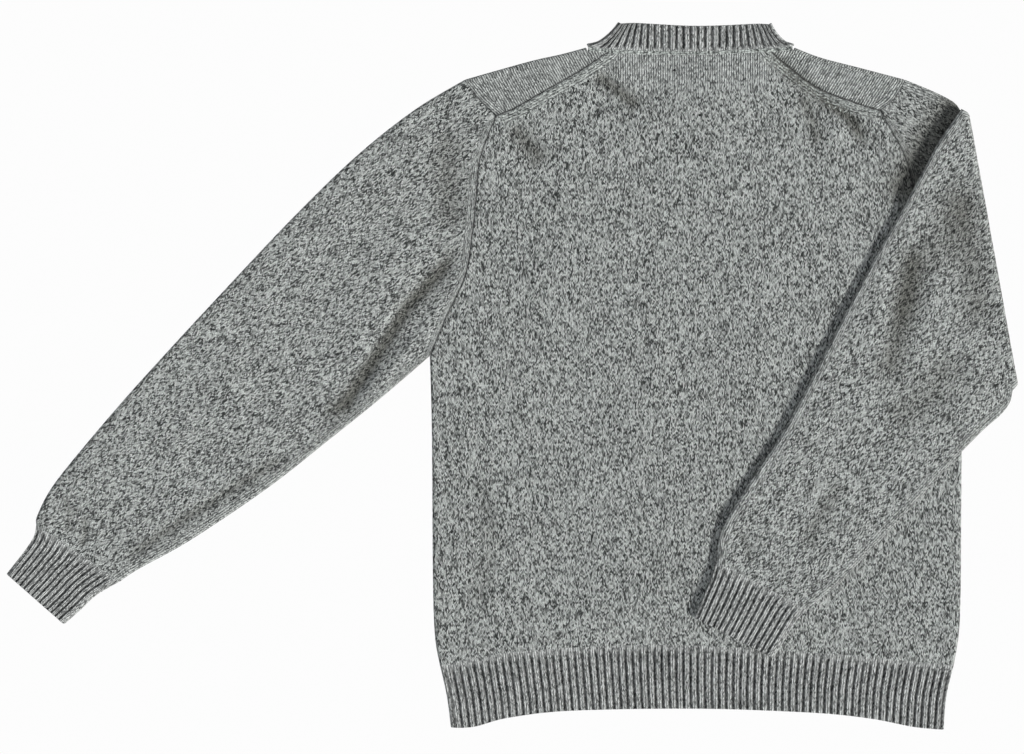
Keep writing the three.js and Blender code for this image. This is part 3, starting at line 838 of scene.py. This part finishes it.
def neckband():
    """A ring of rib: over the back of the neck, round both corners, and below round the front."""
    top, low = TUBE + NECK_PROUD - BAND_HALF, BAND_HALF
    rise, middle = (top - low) / 2, (top + low) / 2
    back_seam, back_edge = curved(BACK_NECK_SEAM, 400), curved(BAND_TOP, 400)
    inset = rise + BAND_HALF
    back_seam, back_edge = (drawn_in(line, inset) for line in (back_seam, back_edge))
    front_seam = curved(across_neck(FRONT_NECK_HALF), 500)
    front_edge = curved(across_neck(FRONT_EDGE_HALF)[:-1] + [BAND_TOP_END], 500)
    front_seam = reaching(front_seam, back_seam)
    front_edge = reaching(front_edge, back_edge)
    seams, edges, facings = [], [], []

    def station(seam, edge, height, facing):
        seams.append(np.append(seam, height))
        edges.append(np.append(edge, height))
        facings.append(facing)

    def front(shares):
        for seam, edge in zip(along(front_seam, shares), along(front_edge, shares)):
            station(seam, edge, low, -UP)

    def corner(seam, edge, out_sign, angles):
        way = unit(edge - seam)
        out = np.array([way[1], -way[0]]) * out_sign
        for angle in angles:
            reach = out * rise * math.sin(angle)
            station(seam + reach, edge + reach, middle + rise * math.cos(angle),
                    np.array([*(out * math.sin(angle)), math.cos(angle)]))

    bend = np.radians(np.linspace(0, 180, 12))[1:-1]
    front(np.linspace(0.5, 0, 160))
    corner(back_seam[0], back_edge[0], -1, bend[::-1])
    shares = np.linspace(0, 1, 300)
    seam_places = along(back_seam, shares)
    edge_x = fanned(seam_places[:, 0], back_seam[0, 0], back_seam[-1, 0],
                    back_edge[0, 0] - back_seam[0, 0], back_seam[-1, 0] - back_edge[-1, 0])
    edge_y = np.interp(edge_x, back_edge[:, 0], back_edge[:, 1])
    for seam, x, y in zip(seam_places, edge_x, edge_y):
        station(seam, np.array([x, y]), top, UP)
    corner(back_seam[-1], back_edge[-1], 1, bend)
    front(np.linspace(1, 0.5, 160))
    seams, edges, facings = np.array(seams), np.array(edges), np.array(facings)
    run = lengths((2 * seams + edges) / 3)
    ribs = round(run[-1] / NECK_RIB)
    turns = run / run[-1] * ribs
    grid, crest, up = [], [], []
    for seam, edge, facing in zip(seams, edges, facings):
        width = np.linalg.norm(edge - seam)
        distance, height, outer = loop_places(width, BAND_HALF, even(8))
        grid.append(seam + (edge - seam) / width * distance[:, None] + facing * height[:, None])
        crest.append(outer * ease((distance - 1.2 * MM) / (3 * MM)))
        up.append(distance)
    grid, crest = np.array(grid), np.array(crest)
    hollow_ended(grid, back_seam, back_edge)
    trough, depth, across = rib_drop(turns[:, None] + 0 * crest)
    drop = BAND_RELIEF * depth * crest
    cloth = np.stack([across, np.array(up)], axis=-1)
    return as_one("neckband_knit", [knit_wall("neckband", grid, drop, cloth, turn=-1, around=True,
                                              solid=True, trough=trough * crest, clear=RIB_CLEAR)])


# ---------- Shader groups and materials ----------

def socket(tree, way, name, kind, value=None):
    """Adds a named input or output to a group."""
    made = tree.interface.new_socket(name=name, in_out=way, socket_type=kind)
    if value is not None:
        made.default_value = value
    return made


class Nodes:
    """Short ways to add and join nodes of one tree."""

    def __init__(self, tree):
        self.tree = tree

    def add(self, kind, inputs=(), **settings):
        node = self.tree.nodes.new(kind)
        for name, value in settings.items():
            setattr(node, name, value)
        for name, value in dict(inputs).items():
            self.put(node.inputs[name], value)
        return node

    def put(self, target, value):
        if isinstance(value, bpy.types.NodeSocket):
            self.tree.links.new(value, target)
        else:
            target.default_value = value

    def math(self, operation, *values):
        node = self.tree.nodes.new("ShaderNodeMath")
        node.operation = operation
        for k, value in enumerate(values):
            self.put(node.inputs[k], value)
        return node.outputs[0]

    def rest(self, share):
        """What a share leaves of one."""
        return self.math("SUBTRACT", 1.0, share)

    def noise(self, place, scale, detail, roughness=0.5):
        inputs = {"Vector": place, "Scale": scale, "Detail": detail, "Roughness": roughness}
        return self.add("ShaderNodeTexNoise", inputs).outputs["Fac"]

    def chance(self, dimensions, inputs):
        """A number from nought to one for each cell."""
        node = self.add("ShaderNodeTexWhiteNoise", inputs, noise_dimensions=dimensions)
        return node.outputs["Value"]

    def mark(self, name):
        """A value that each point of the cloth carries."""
        return self.add("ShaderNodeAttribute", attribute_name=name).outputs["Fac"]

    def number_blend(self, factor, first, second):
        return self.add("ShaderNodeMix", {"Factor": factor, "A": first, "B": second}).outputs["Result"]

    def blend(self, factor, first, second, mode="MIX"):
        node = self.add("ShaderNodeMix", data_type="RGBA", blend_type=mode)
        self.put(node.inputs[0], factor)
        self.put(node.inputs[6], first)
        self.put(node.inputs[7], second)
        return node.outputs[2]


def grey(n, value):
    """A grey of a given value."""
    return n.add("ShaderNodeCombineColor", {"Red": value, "Green": value, "Blue": value}).outputs[0]


SWAY = 1.2                          # how far loose wales sway, in stitches
LEG_RELIEF = 0.5                    # share of a stitch's height that its rounded legs take
RIDGE_POWER = 1.4                   # how narrow the ridge of a plain wale is
LOOP_POWERS = (0.55, 0.3)           # how sharply a loop ends, in loose and in plain wales
STRAND_STITCHES = 2.0               # length of a strand of one grey, in stitches
STRAND_STARTS = 9.0                 # spread of the places where strands start
# How much the grey changes from leg to leg, from strand to strand, in fibres and in slow clouds.
GRAIN_SHARE, STRAND_SHARE, MARL_SHARE, CLOUD_SHARE = 0.78, 0.20, 0.8, 0.10
PLAIN_PLY, PLAIN_SHARE = 0.24, 0.65  # plain wales change less, about a middle grey
PLY_DARK, PLY_LIGHT = 0.20, 0.82    # values at which a leg is all dark or all light yarn
DARKEST_FURROW = 0.08               # what the painted shade deepest in a furrow between stitches leaves of the colour


def stitch_group():
    """Stocking stitch in marl wool: its colour and its height, from places across and along the wales."""
    tree = bpy.data.node_groups.new("stocking_stitch", "ShaderNodeTree")
    socket(tree, "INPUT", "Place", "NodeSocketVector")
    socket(tree, "INPUT", "Furrow", "NodeSocketFloat", 0.5)
    socket(tree, "INPUT", "Clear", "NodeSocketFloat", 0.0)
    socket(tree, "INPUT", "Dark Yarn", "NodeSocketColor", (0.05, 0.055, 0.052, 1))
    socket(tree, "INPUT", "Light Yarn", "NodeSocketColor", (0.5, 0.52, 0.5, 1))
    socket(tree, "OUTPUT", "Color", "NodeSocketColor")
    socket(tree, "OUTPUT", "Height", "NodeSocketFloat")
    n = Nodes(tree)
    given = n.add("NodeGroupInput").outputs
    parts = n.add("ShaderNodeSeparateXYZ", {"Vector": given["Place"]}).outputs
    u = n.math("DIVIDE", parts["X"], WALE)
    v = n.math("DIVIDE", parts["Y"], COURSE)

    # Loose knit sways a little. Stretched knit lies in straight, plain wales.
    sway = n.math("MULTIPLY", n.math("SUBTRACT", n.noise(given["Place"], 240.0, 1.0), 0.5), SWAY)
    u = n.math("ADD", u, n.math("MULTIPLY", sway, n.rest(given["Clear"])))

    # Each wale is a column of V stitches: two legs that rise away from its middle.
    off = n.math("ABSOLUTE", n.math("SUBTRACT", n.math("FRACT", u), 0.5))
    rise = n.math("SUBTRACT", v, n.math("MULTIPLY", off, STITCH_RISE))
    leg = n.math("SUBTRACT", n.math("MULTIPLY", off, 4.0), 1.0)
    leg = n.rest(n.math("MULTIPLY", leg, leg))
    leg = n.math("ADD", n.math("MULTIPLY", leg, LEG_RELIEF), 1 - LEG_RELIEF)
    ridge = n.rest(n.math("MULTIPLY", 4.0, n.math("MULTIPLY", off, off)))
    height = n.number_blend(given["Clear"], leg, n.math("POWER", ridge, RIDGE_POWER))
    loop = n.math("SINE", n.math("MULTIPLY", n.math("FRACT", rise), math.pi))
    loop = n.math("POWER", loop, n.number_blend(given["Clear"], *LOOP_POWERS))
    height = n.math("MULTIPLY", height, loop)

    # Two plies of different greys, which change from leg to leg and in strands along the wales.
    column = n.math("FLOOR", n.math("MULTIPLY", u, 2.0))
    cell = n.add("ShaderNodeCombineXYZ", {"X": column, "Y": n.math("FLOOR", rise)}).outputs[0]
    grain = n.chance("2D", {"Vector": cell})
    start = n.math("MULTIPLY", n.chance("1D", {"W": column}), STRAND_STARTS)
    strand_row = n.math("FLOOR", n.math("ADD", n.math("DIVIDE", rise, STRAND_STITCHES), start))
    strand_cell = n.add("ShaderNodeCombineXYZ", {"X": column, "Y": strand_row, "Z": 7.0}).outputs[0]
    strand = n.chance("3D", {"Vector": strand_cell})
    marl = n.math("SUBTRACT", n.noise(given["Place"], 800.0, 2.0, 0.8), 0.5)
    cloud = n.math("SUBTRACT", n.noise(given["Place"], 34.0, 2.0), 0.5)
    ply = n.math("MULTIPLY", grain, GRAIN_SHARE)
    for part, share in ((strand, STRAND_SHARE), (marl, MARL_SHARE), (cloud, CLOUD_SHARE)):
        ply = n.math("ADD", ply, n.math("MULTIPLY", part, share))
    plain = n.math("ADD", PLAIN_PLY, n.math("MULTIPLY", ply, PLAIN_SHARE))
    ply = n.number_blend(given["Clear"], ply, plain)
    shade = n.add("ShaderNodeMapRange", {"Value": ply, "From Min": PLY_DARK, "From Max": PLY_LIGHT})
    colour = n.blend(shade.outputs["Result"], given["Dark Yarn"], given["Light Yarn"])
    # Painted shade: the colour darkens in the furrows between stitches, where the height is low.
    furrow = n.rest(n.math("MULTIPLY", given["Furrow"], n.rest(height)))
    colour = n.blend(1.0, colour, grey(n, n.math("MAXIMUM", furrow, DARKEST_FURROW)), "MULTIPLY")
    out = n.add("NodeGroupOutput")
    n.put(out.inputs["Color"], colour)
    n.put(out.inputs["Height"], height)
    return tree


FLECKS = [(162, 305), (76, 294), (187, 260)]     # dark flecks in the back, in millimetres
FLECK_RADIUS = 1.3 * MM
FLECK_SHADE = (0.001, 0.001, 0.001, 1)


def fleck_mask(n):
    """One on the few dark flecks in the back's yarn, and nought elsewhere."""
    spot = n.add("ShaderNodeSeparateXYZ", {"Vector": n.add("ShaderNodeTexCoord").outputs["Object"]})
    flat = n.add("ShaderNodeCombineXYZ", {"X": spot.outputs["X"], "Y": spot.outputs["Y"]}).outputs[0]
    mask = 0.0
    for x, y in FLECKS:
        apart = n.add("ShaderNodeVectorMath", operation="DISTANCE")
        n.put(apart.inputs[0], flat)
        n.put(apart.inputs[1], (x * MM, y * MM, 0))
        mask = n.math("ADD", mask, n.math("LESS_THAN", apart.outputs["Value"], FLECK_RADIUS))
    return n.math("MULTIPLY", mask, n.math("GREATER_THAN", spot.outputs["Z"], MID))


def wool(name, group, furrow, bump, dark, light, banded=False, trough_painted_shade=0.0):
    """Wool in a stitch, with painted shade in its furrows, troughs, seams and creases and on the sides of
    curled edges.
    """
    material = bpy.data.materials.new(name)
    material.use_nodes = True
    tree = material.node_tree
    tree.nodes.clear()
    n = Nodes(tree)
    place = n.add("ShaderNodeUVMap", uv_map="knit").outputs["UV"]
    clear = n.mark("clear")
    if banded:
        beside = n.add("ShaderNodeUVMap", uv_map="band").outputs["UV"]
        distance = n.add("ShaderNodeSeparateXYZ", {"Vector": beside}).outputs["X"]
        inside = n.math("LESS_THAN", distance, BAND)
        mix = n.add("ShaderNodeMix", data_type="VECTOR")
        n.put(mix.inputs[0], inside)
        n.put(mix.inputs[4], place)
        n.put(mix.inputs[5], beside)
        place = mix.outputs[1]
        clear = n.math("MAXIMUM", clear, n.math("MULTIPLY", inside, 0.75))
    knit = n.add("ShaderNodeGroup", {"Place": place, "Furrow": furrow, "Clear": clear, "Dark Yarn": dark,
                                     "Light Yarn": light}, node_tree=group)
    colour = knit.outputs["Color"]
    # Painted shade: the rib's troughs and a seam's groove darken by their marks.
    for mark, shade in (("trough", trough_painted_shade), ("sewn", SEAM_PAINTED_SHADE)):
        keep = n.rest(n.math("MULTIPLY", n.mark(mark), shade))
        colour = n.blend(1.0, colour, grey(n, keep), "MULTIPLY")
    # Painted shade deep in creases and on the steep sides of curled edges, in its own brownish grey tint.
    colour = n.blend(n.mark("painted_shade"), colour, n.blend(1.0, colour, PAINTED_SHADE_TINT, "MULTIPLY"))
    if banded:
        colour = n.blend(fleck_mask(n), colour, FLECK_SHADE)
    relief = n.add("ShaderNodeBump", {"Strength": bump, "Distance": STITCH_DEPTH,
                                      "Height": knit.outputs["Height"]})
    shader = n.add("ShaderNodeBsdfPrincipled", {
        "Base Color": colour,
        "Roughness": 0.95,
        "Specular IOR Level": 0.2,
        "Sheen Weight": 0.12,
        "Sheen Roughness": 0.6,
        "Normal": relief.outputs["Normal"],
    })
    out = n.add("ShaderNodeOutputMaterial")
    n.put(out.inputs["Surface"], shader.outputs[0])
    return material


def glowing(name, strength):
    """A white that no shadow falls on, as in a lit backdrop."""
    material = bpy.data.materials.new(name)
    material.use_nodes = True
    shader = material.node_tree.nodes["Principled BSDF"]
    shader.inputs["Base Color"].default_value = (0, 0, 0, 1)
    shader.inputs["Specular IOR Level"].default_value = 0
    shader.inputs["Emission Color"].default_value = (1, 1, 1, 1)
    shader.inputs["Emission Strength"].default_value = strength
    return material


DARK_YARN = (0.030, 0.034, 0.033, 1)
LIGHT_YARN = (0.92, 0.965, 0.935, 1)
RIB_LIGHT_YARN = (0.97, 1.0, 0.98, 1)
SEAM_PAINTED_SHADE = 0.8                    # strength of the painted shade in a seam's groove
PAINTED_SHADE_TINT = (0.38, 0.37, 0.345, 1)  # what painted shade leaves of the colour in the deepest crease and on a curled edge's side
STITCH_DEPTH = 0.9 * MM             # relief of the stitches
stitches = stitch_group()
jersey = wool("jersey_marl", stitches, 0.85, 0.9, DARK_YARN, LIGHT_YARN, banded=True)
rib = wool("rib_marl", stitches, 0.64, 1.0, DARK_YARN, RIB_LIGHT_YARN, trough_painted_shade=0.96)


# ---------- Rows of single loops ----------

def loop_tree():
    """Loops of yarn along a line, one at each step, slanted to one side and the other in turn."""
    tree = bpy.data.node_groups.new("yarn_loops", "GeometryNodeTree")
    socket(tree, "INPUT", "Line", "NodeSocketGeometry")
    socket(tree, "INPUT", "Step", "NodeSocketFloat", 0.003)
    socket(tree, "INPUT", "Size", "NodeSocketVector", (0.003, 0.0015, 0.001))
    socket(tree, "INPUT", "Slant", "NodeSocketFloat", 0.3)
    socket(tree, "INPUT", "Seed", "NodeSocketInt", 1)
    socket(tree, "INPUT", "Yarn", "NodeSocketMaterial")
    socket(tree, "OUTPUT", "Loops", "NodeSocketGeometry")
    n = Nodes(tree)
    given = n.add("NodeGroupInput").outputs
    line = n.add("GeometryNodeMeshToCurve", {"Mesh": given["Line"]}).outputs["Curve"]
    steps = n.add("GeometryNodeResampleCurve", {"Curve": line, "Length": given["Step"]}, mode="LENGTH")
    bead = n.add("GeometryNodeMeshUVSphere", {"Segments": 8, "Rings": 6, "Radius": 0.5}).outputs["Mesh"]
    forward = n.add("FunctionNodeAlignRotationToVector",
                    {"Vector": n.add("GeometryNodeInputTangent").outputs[0]}, axis="X").outputs[0]
    turn = n.math("MODULO", n.add("GeometryNodeInputIndex").outputs[0], 2.0)
    turn = n.math("MULTIPLY", n.math("SUBTRACT", n.math("MULTIPLY", turn, 2.0), 1.0), given["Slant"])
    slant = n.add("FunctionNodeEulerToRotation",
                  {"Euler": n.add("ShaderNodeCombineXYZ", {"Z": turn}).outputs[0]}).outputs[0]
    rotation = n.add("FunctionNodeRotateRotation", {"Rotation": forward, "Rotate By": slant},
                     rotation_space="LOCAL").outputs[0]
    varied = n.add("FunctionNodeRandomValue", data_type="FLOAT_VECTOR")
    n.put(varied.inputs["Min"], (0.85, 0.85, 0.85))
    n.put(varied.inputs["Max"], (1.15, 1.15, 1.15))
    n.put(varied.inputs["Seed"], given["Seed"])
    scale = n.add("ShaderNodeVectorMath", operation="MULTIPLY")
    n.put(scale.inputs[0], given["Size"])
    n.put(scale.inputs[1], varied.outputs[0])
    beads = n.add("GeometryNodeInstanceOnPoints", {
        "Points": steps.outputs["Curve"], "Instance": bead, "Rotation": rotation,
        "Scale": scale.outputs[0]})
    whole = n.add("GeometryNodeRealizeInstances", {"Geometry": beads.outputs[0]}).outputs[0]
    smooth = n.add("GeometryNodeSetShadeSmooth", {"Geometry": whole}).outputs[0]
    finished = n.add("GeometryNodeSetMaterial", {"Geometry": smooth, "Material": given["Yarn"]}).outputs[0]
    n.put(n.add("NodeGroupOutput").inputs["Loops"], finished)
    return tree


def inside(places, distance, side):
    """A line beside a seam, on the side of the cloth, that ends a little within it."""
    line = curved(places)
    return drawn_in(line + sideways(line, side) * distance, ROW_INSET)


def yarn_rows(name, rows, tree, yarn):
    """Rows of loops that lie on the cloth, as one piece. Each row has a line, step, size and slant."""
    made = []
    for seed, (line, step, size, slant) in enumerate(rows):
        mesh = bpy.data.meshes.new(name)
        links = [(k, k + 1) for k in range(len(line) - 1)]
        mesh.from_pydata(level(line, TUBE).tolist(), links, [])
        carrier = placed(name + "_line", mesh)
        modifier = carrier.modifiers.new("loops", "NODES")
        modifier.node_group = tree
        given = {"Step": step, "Size": size, "Slant": slant, "Seed": seed + 1, "Yarn": yarn}
        for item in tree.interface.items_tree:
            if item.name in given:
                modifier[item.identifier] = given[item.name]
        graph = bpy.context.evaluated_depsgraph_get()
        loops = bpy.data.meshes.new_from_object(carrier.evaluated_get(graph))
        bpy.data.objects.remove(carrier)
        places = np.empty(3 * len(loops.vertices))
        loops.vertices.foreach_get("co", places)
        loops.vertices.foreach_set("co", settled(places.reshape(-1, 3)).reshape(-1))
        made.append(placed(name, loops))
    return as_one(name, made)


ROW_INSET = 4 * MM                  # how far a row of loops stops short of its seam's ends
# Length, width and height of one loop.
BRAID = (3.4 * MM, 1.7 * MM, 1.3 * MM)
CHAIN = (4.6 * MM, 2.1 * MM, 1.8 * MM)
MARK = (5.0 * MM, 1.5 * MM, 1.0 * MM)


def braids():
    """Fashioned wales beside the back shoulder seams, and the slanting stitches that end them."""
    rows = []
    for seam, side in ((LEFT_BACK_SHOULDER, -1), (RIGHT_BACK_SHOULDER, 1)):
        rows += [(inside(seam, gap * MM, side), 3.0 * MM, BRAID, 0.3) for gap in (2.4, 5.0, 7.6)]
        rows.append((inside(seam, 11 * MM, side), 5.5 * MM, MARK, 0.9))
    return rows


def chain():
    """The linked row of loops at the foot of the neckband, on the back."""
    return [(inside(BACK_NECK_SEAM, gap * MM, -1), 3.2 * MM, CHAIN, 0.25) for gap in (0.2, 2.0)]


def yarn_finish():
    """Marl wool for single loops, shaded from place to place."""
    material = bpy.data.materials.new("loop_marl")
    material.use_nodes = True
    n = Nodes(material.node_tree)
    place = n.add("ShaderNodeTexCoord").outputs["Object"]
    ply = n.noise(place, 420.0, 3.0)
    ply = n.add("ShaderNodeMapRange", {"Value": ply, "From Min": 0.36, "From Max": 0.64}).outputs["Result"]
    shader = n.tree.nodes["Principled BSDF"]
    n.put(shader.inputs["Base Color"], n.blend(ply, LOOP_DARK, LOOP_LIGHT))
    n.put(shader.inputs["Roughness"], 0.95)
    n.put(shader.inputs["Specular IOR Level"], 0.2)
    fibre = n.noise(place, 1500.0, 2.0)
    relief = n.add("ShaderNodeBump", {"Strength": 0.4, "Distance": 0.3 * MM, "Height": fibre})
    n.put(shader.inputs["Normal"], relief.outputs["Normal"])
    return material


LOOP_DARK = (0.08, 0.087, 0.083, 1)
LOOP_LIGHT = (0.60, 0.64, 0.61, 1)

# ---------- The garment ----------

def rides(piece, slot, *nodes):
    """Fixes a piece to the garment and hides the parts it stands for; slot is not used."""
    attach(piece, "root")
    for node in nodes:
        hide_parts(node)


def worn(piece, material, slot, node):
    """Gives a piece its finish, fixes it to the garment and hides the part that it stands for."""
    piece.data.materials.clear()
    piece.data.materials.append(material)
    rides(piece, slot, node)


loops, loop_yarn = loop_tree(), yarn_finish()
shoulder_braids = yarn_rows("shoulder_braids", braids(), loops, loop_yarn)
neck_chain = yarn_rows("neck_chain", chain(), loops, loop_yarn)
rides(shoulder_braids, "jersey_knit")
rides(neck_chain, "rib_knit")

front = front_panel()
back = back_panel()
worn(front, jersey, "jersey_knit", "front_panel")
worn(back, jersey, "jersey_knit", "back_panel")
front_hem = hem_rib("front_hem_knit", -1)
worn(front_hem, rib, "rib_knit", "front_hem_rib")
worn(hem_rib("back_hem_knit", 1), rib, "rib_knit", "back_hem_rib")
worn(neckband(), rib, "rib_knit", "neckband")
worn(sleeve_left(), jersey, "jersey_knit", "sleeve_left")
worn(cuff("left_cuff_knit", LEFT_CUFF_UPPER, LEFT_CUFF_LOWER, MID, UP, -1), rib, "rib_knit", "cuff_left")
worn(sleeve_right(), jersey, "jersey_knit", "sleeve_right")
worn(cuff("right_cuff_knit", RIGHT_CUFF_UPPER, RIGHT_CUFF_LOWER, FOLDED_MID, -UP, 1), rib, "rib_knit",
     "cuff_right")

# ---------- Floor, light and camera ----------

bpy.ops.mesh.primitive_plane_add(size=8)
floor = bpy.context.object
floor.name = "floor"
floor.data.materials.append(glowing("white_floor", 0.98))

scene = bpy.context.scene
scene.view_settings.view_transform = "Standard"
world = bpy.data.worlds.new("studio")
scene.world = world
world.use_nodes = True
world.node_tree.nodes["Background"].inputs["Color"].default_value = (0.93, 0.96, 1.0, 1)
world.node_tree.nodes["Background"].inputs["Strength"].default_value = 0.45

sun = placed("key", bpy.data.lights.new("key", "SUN"))
sun.data.energy = 3.3
sun.data.angle = math.radians(14)
sun.data.color = (1.0, 0.985, 0.96)
sun.rotation_euler = Vector((0.80, -0.42, 0.64)).to_track_quat("Z", "Y").to_euler()

VIEW_HEIGHT = 2.5                   # height of the camera above the floor
VIEW_WIDTH = 1.024                  # width of floor that it takes in
camera = placed("camera", bpy.data.cameras.new("camera"))
camera.data.sensor_width = 36
camera.data.lens = 36 * VIEW_HEIGHT / VIEW_WIDTH
camera.data.clip_end = 50
camera.location = (0, -1 * MM, VIEW_HEIGHT)
scene.camera = camera
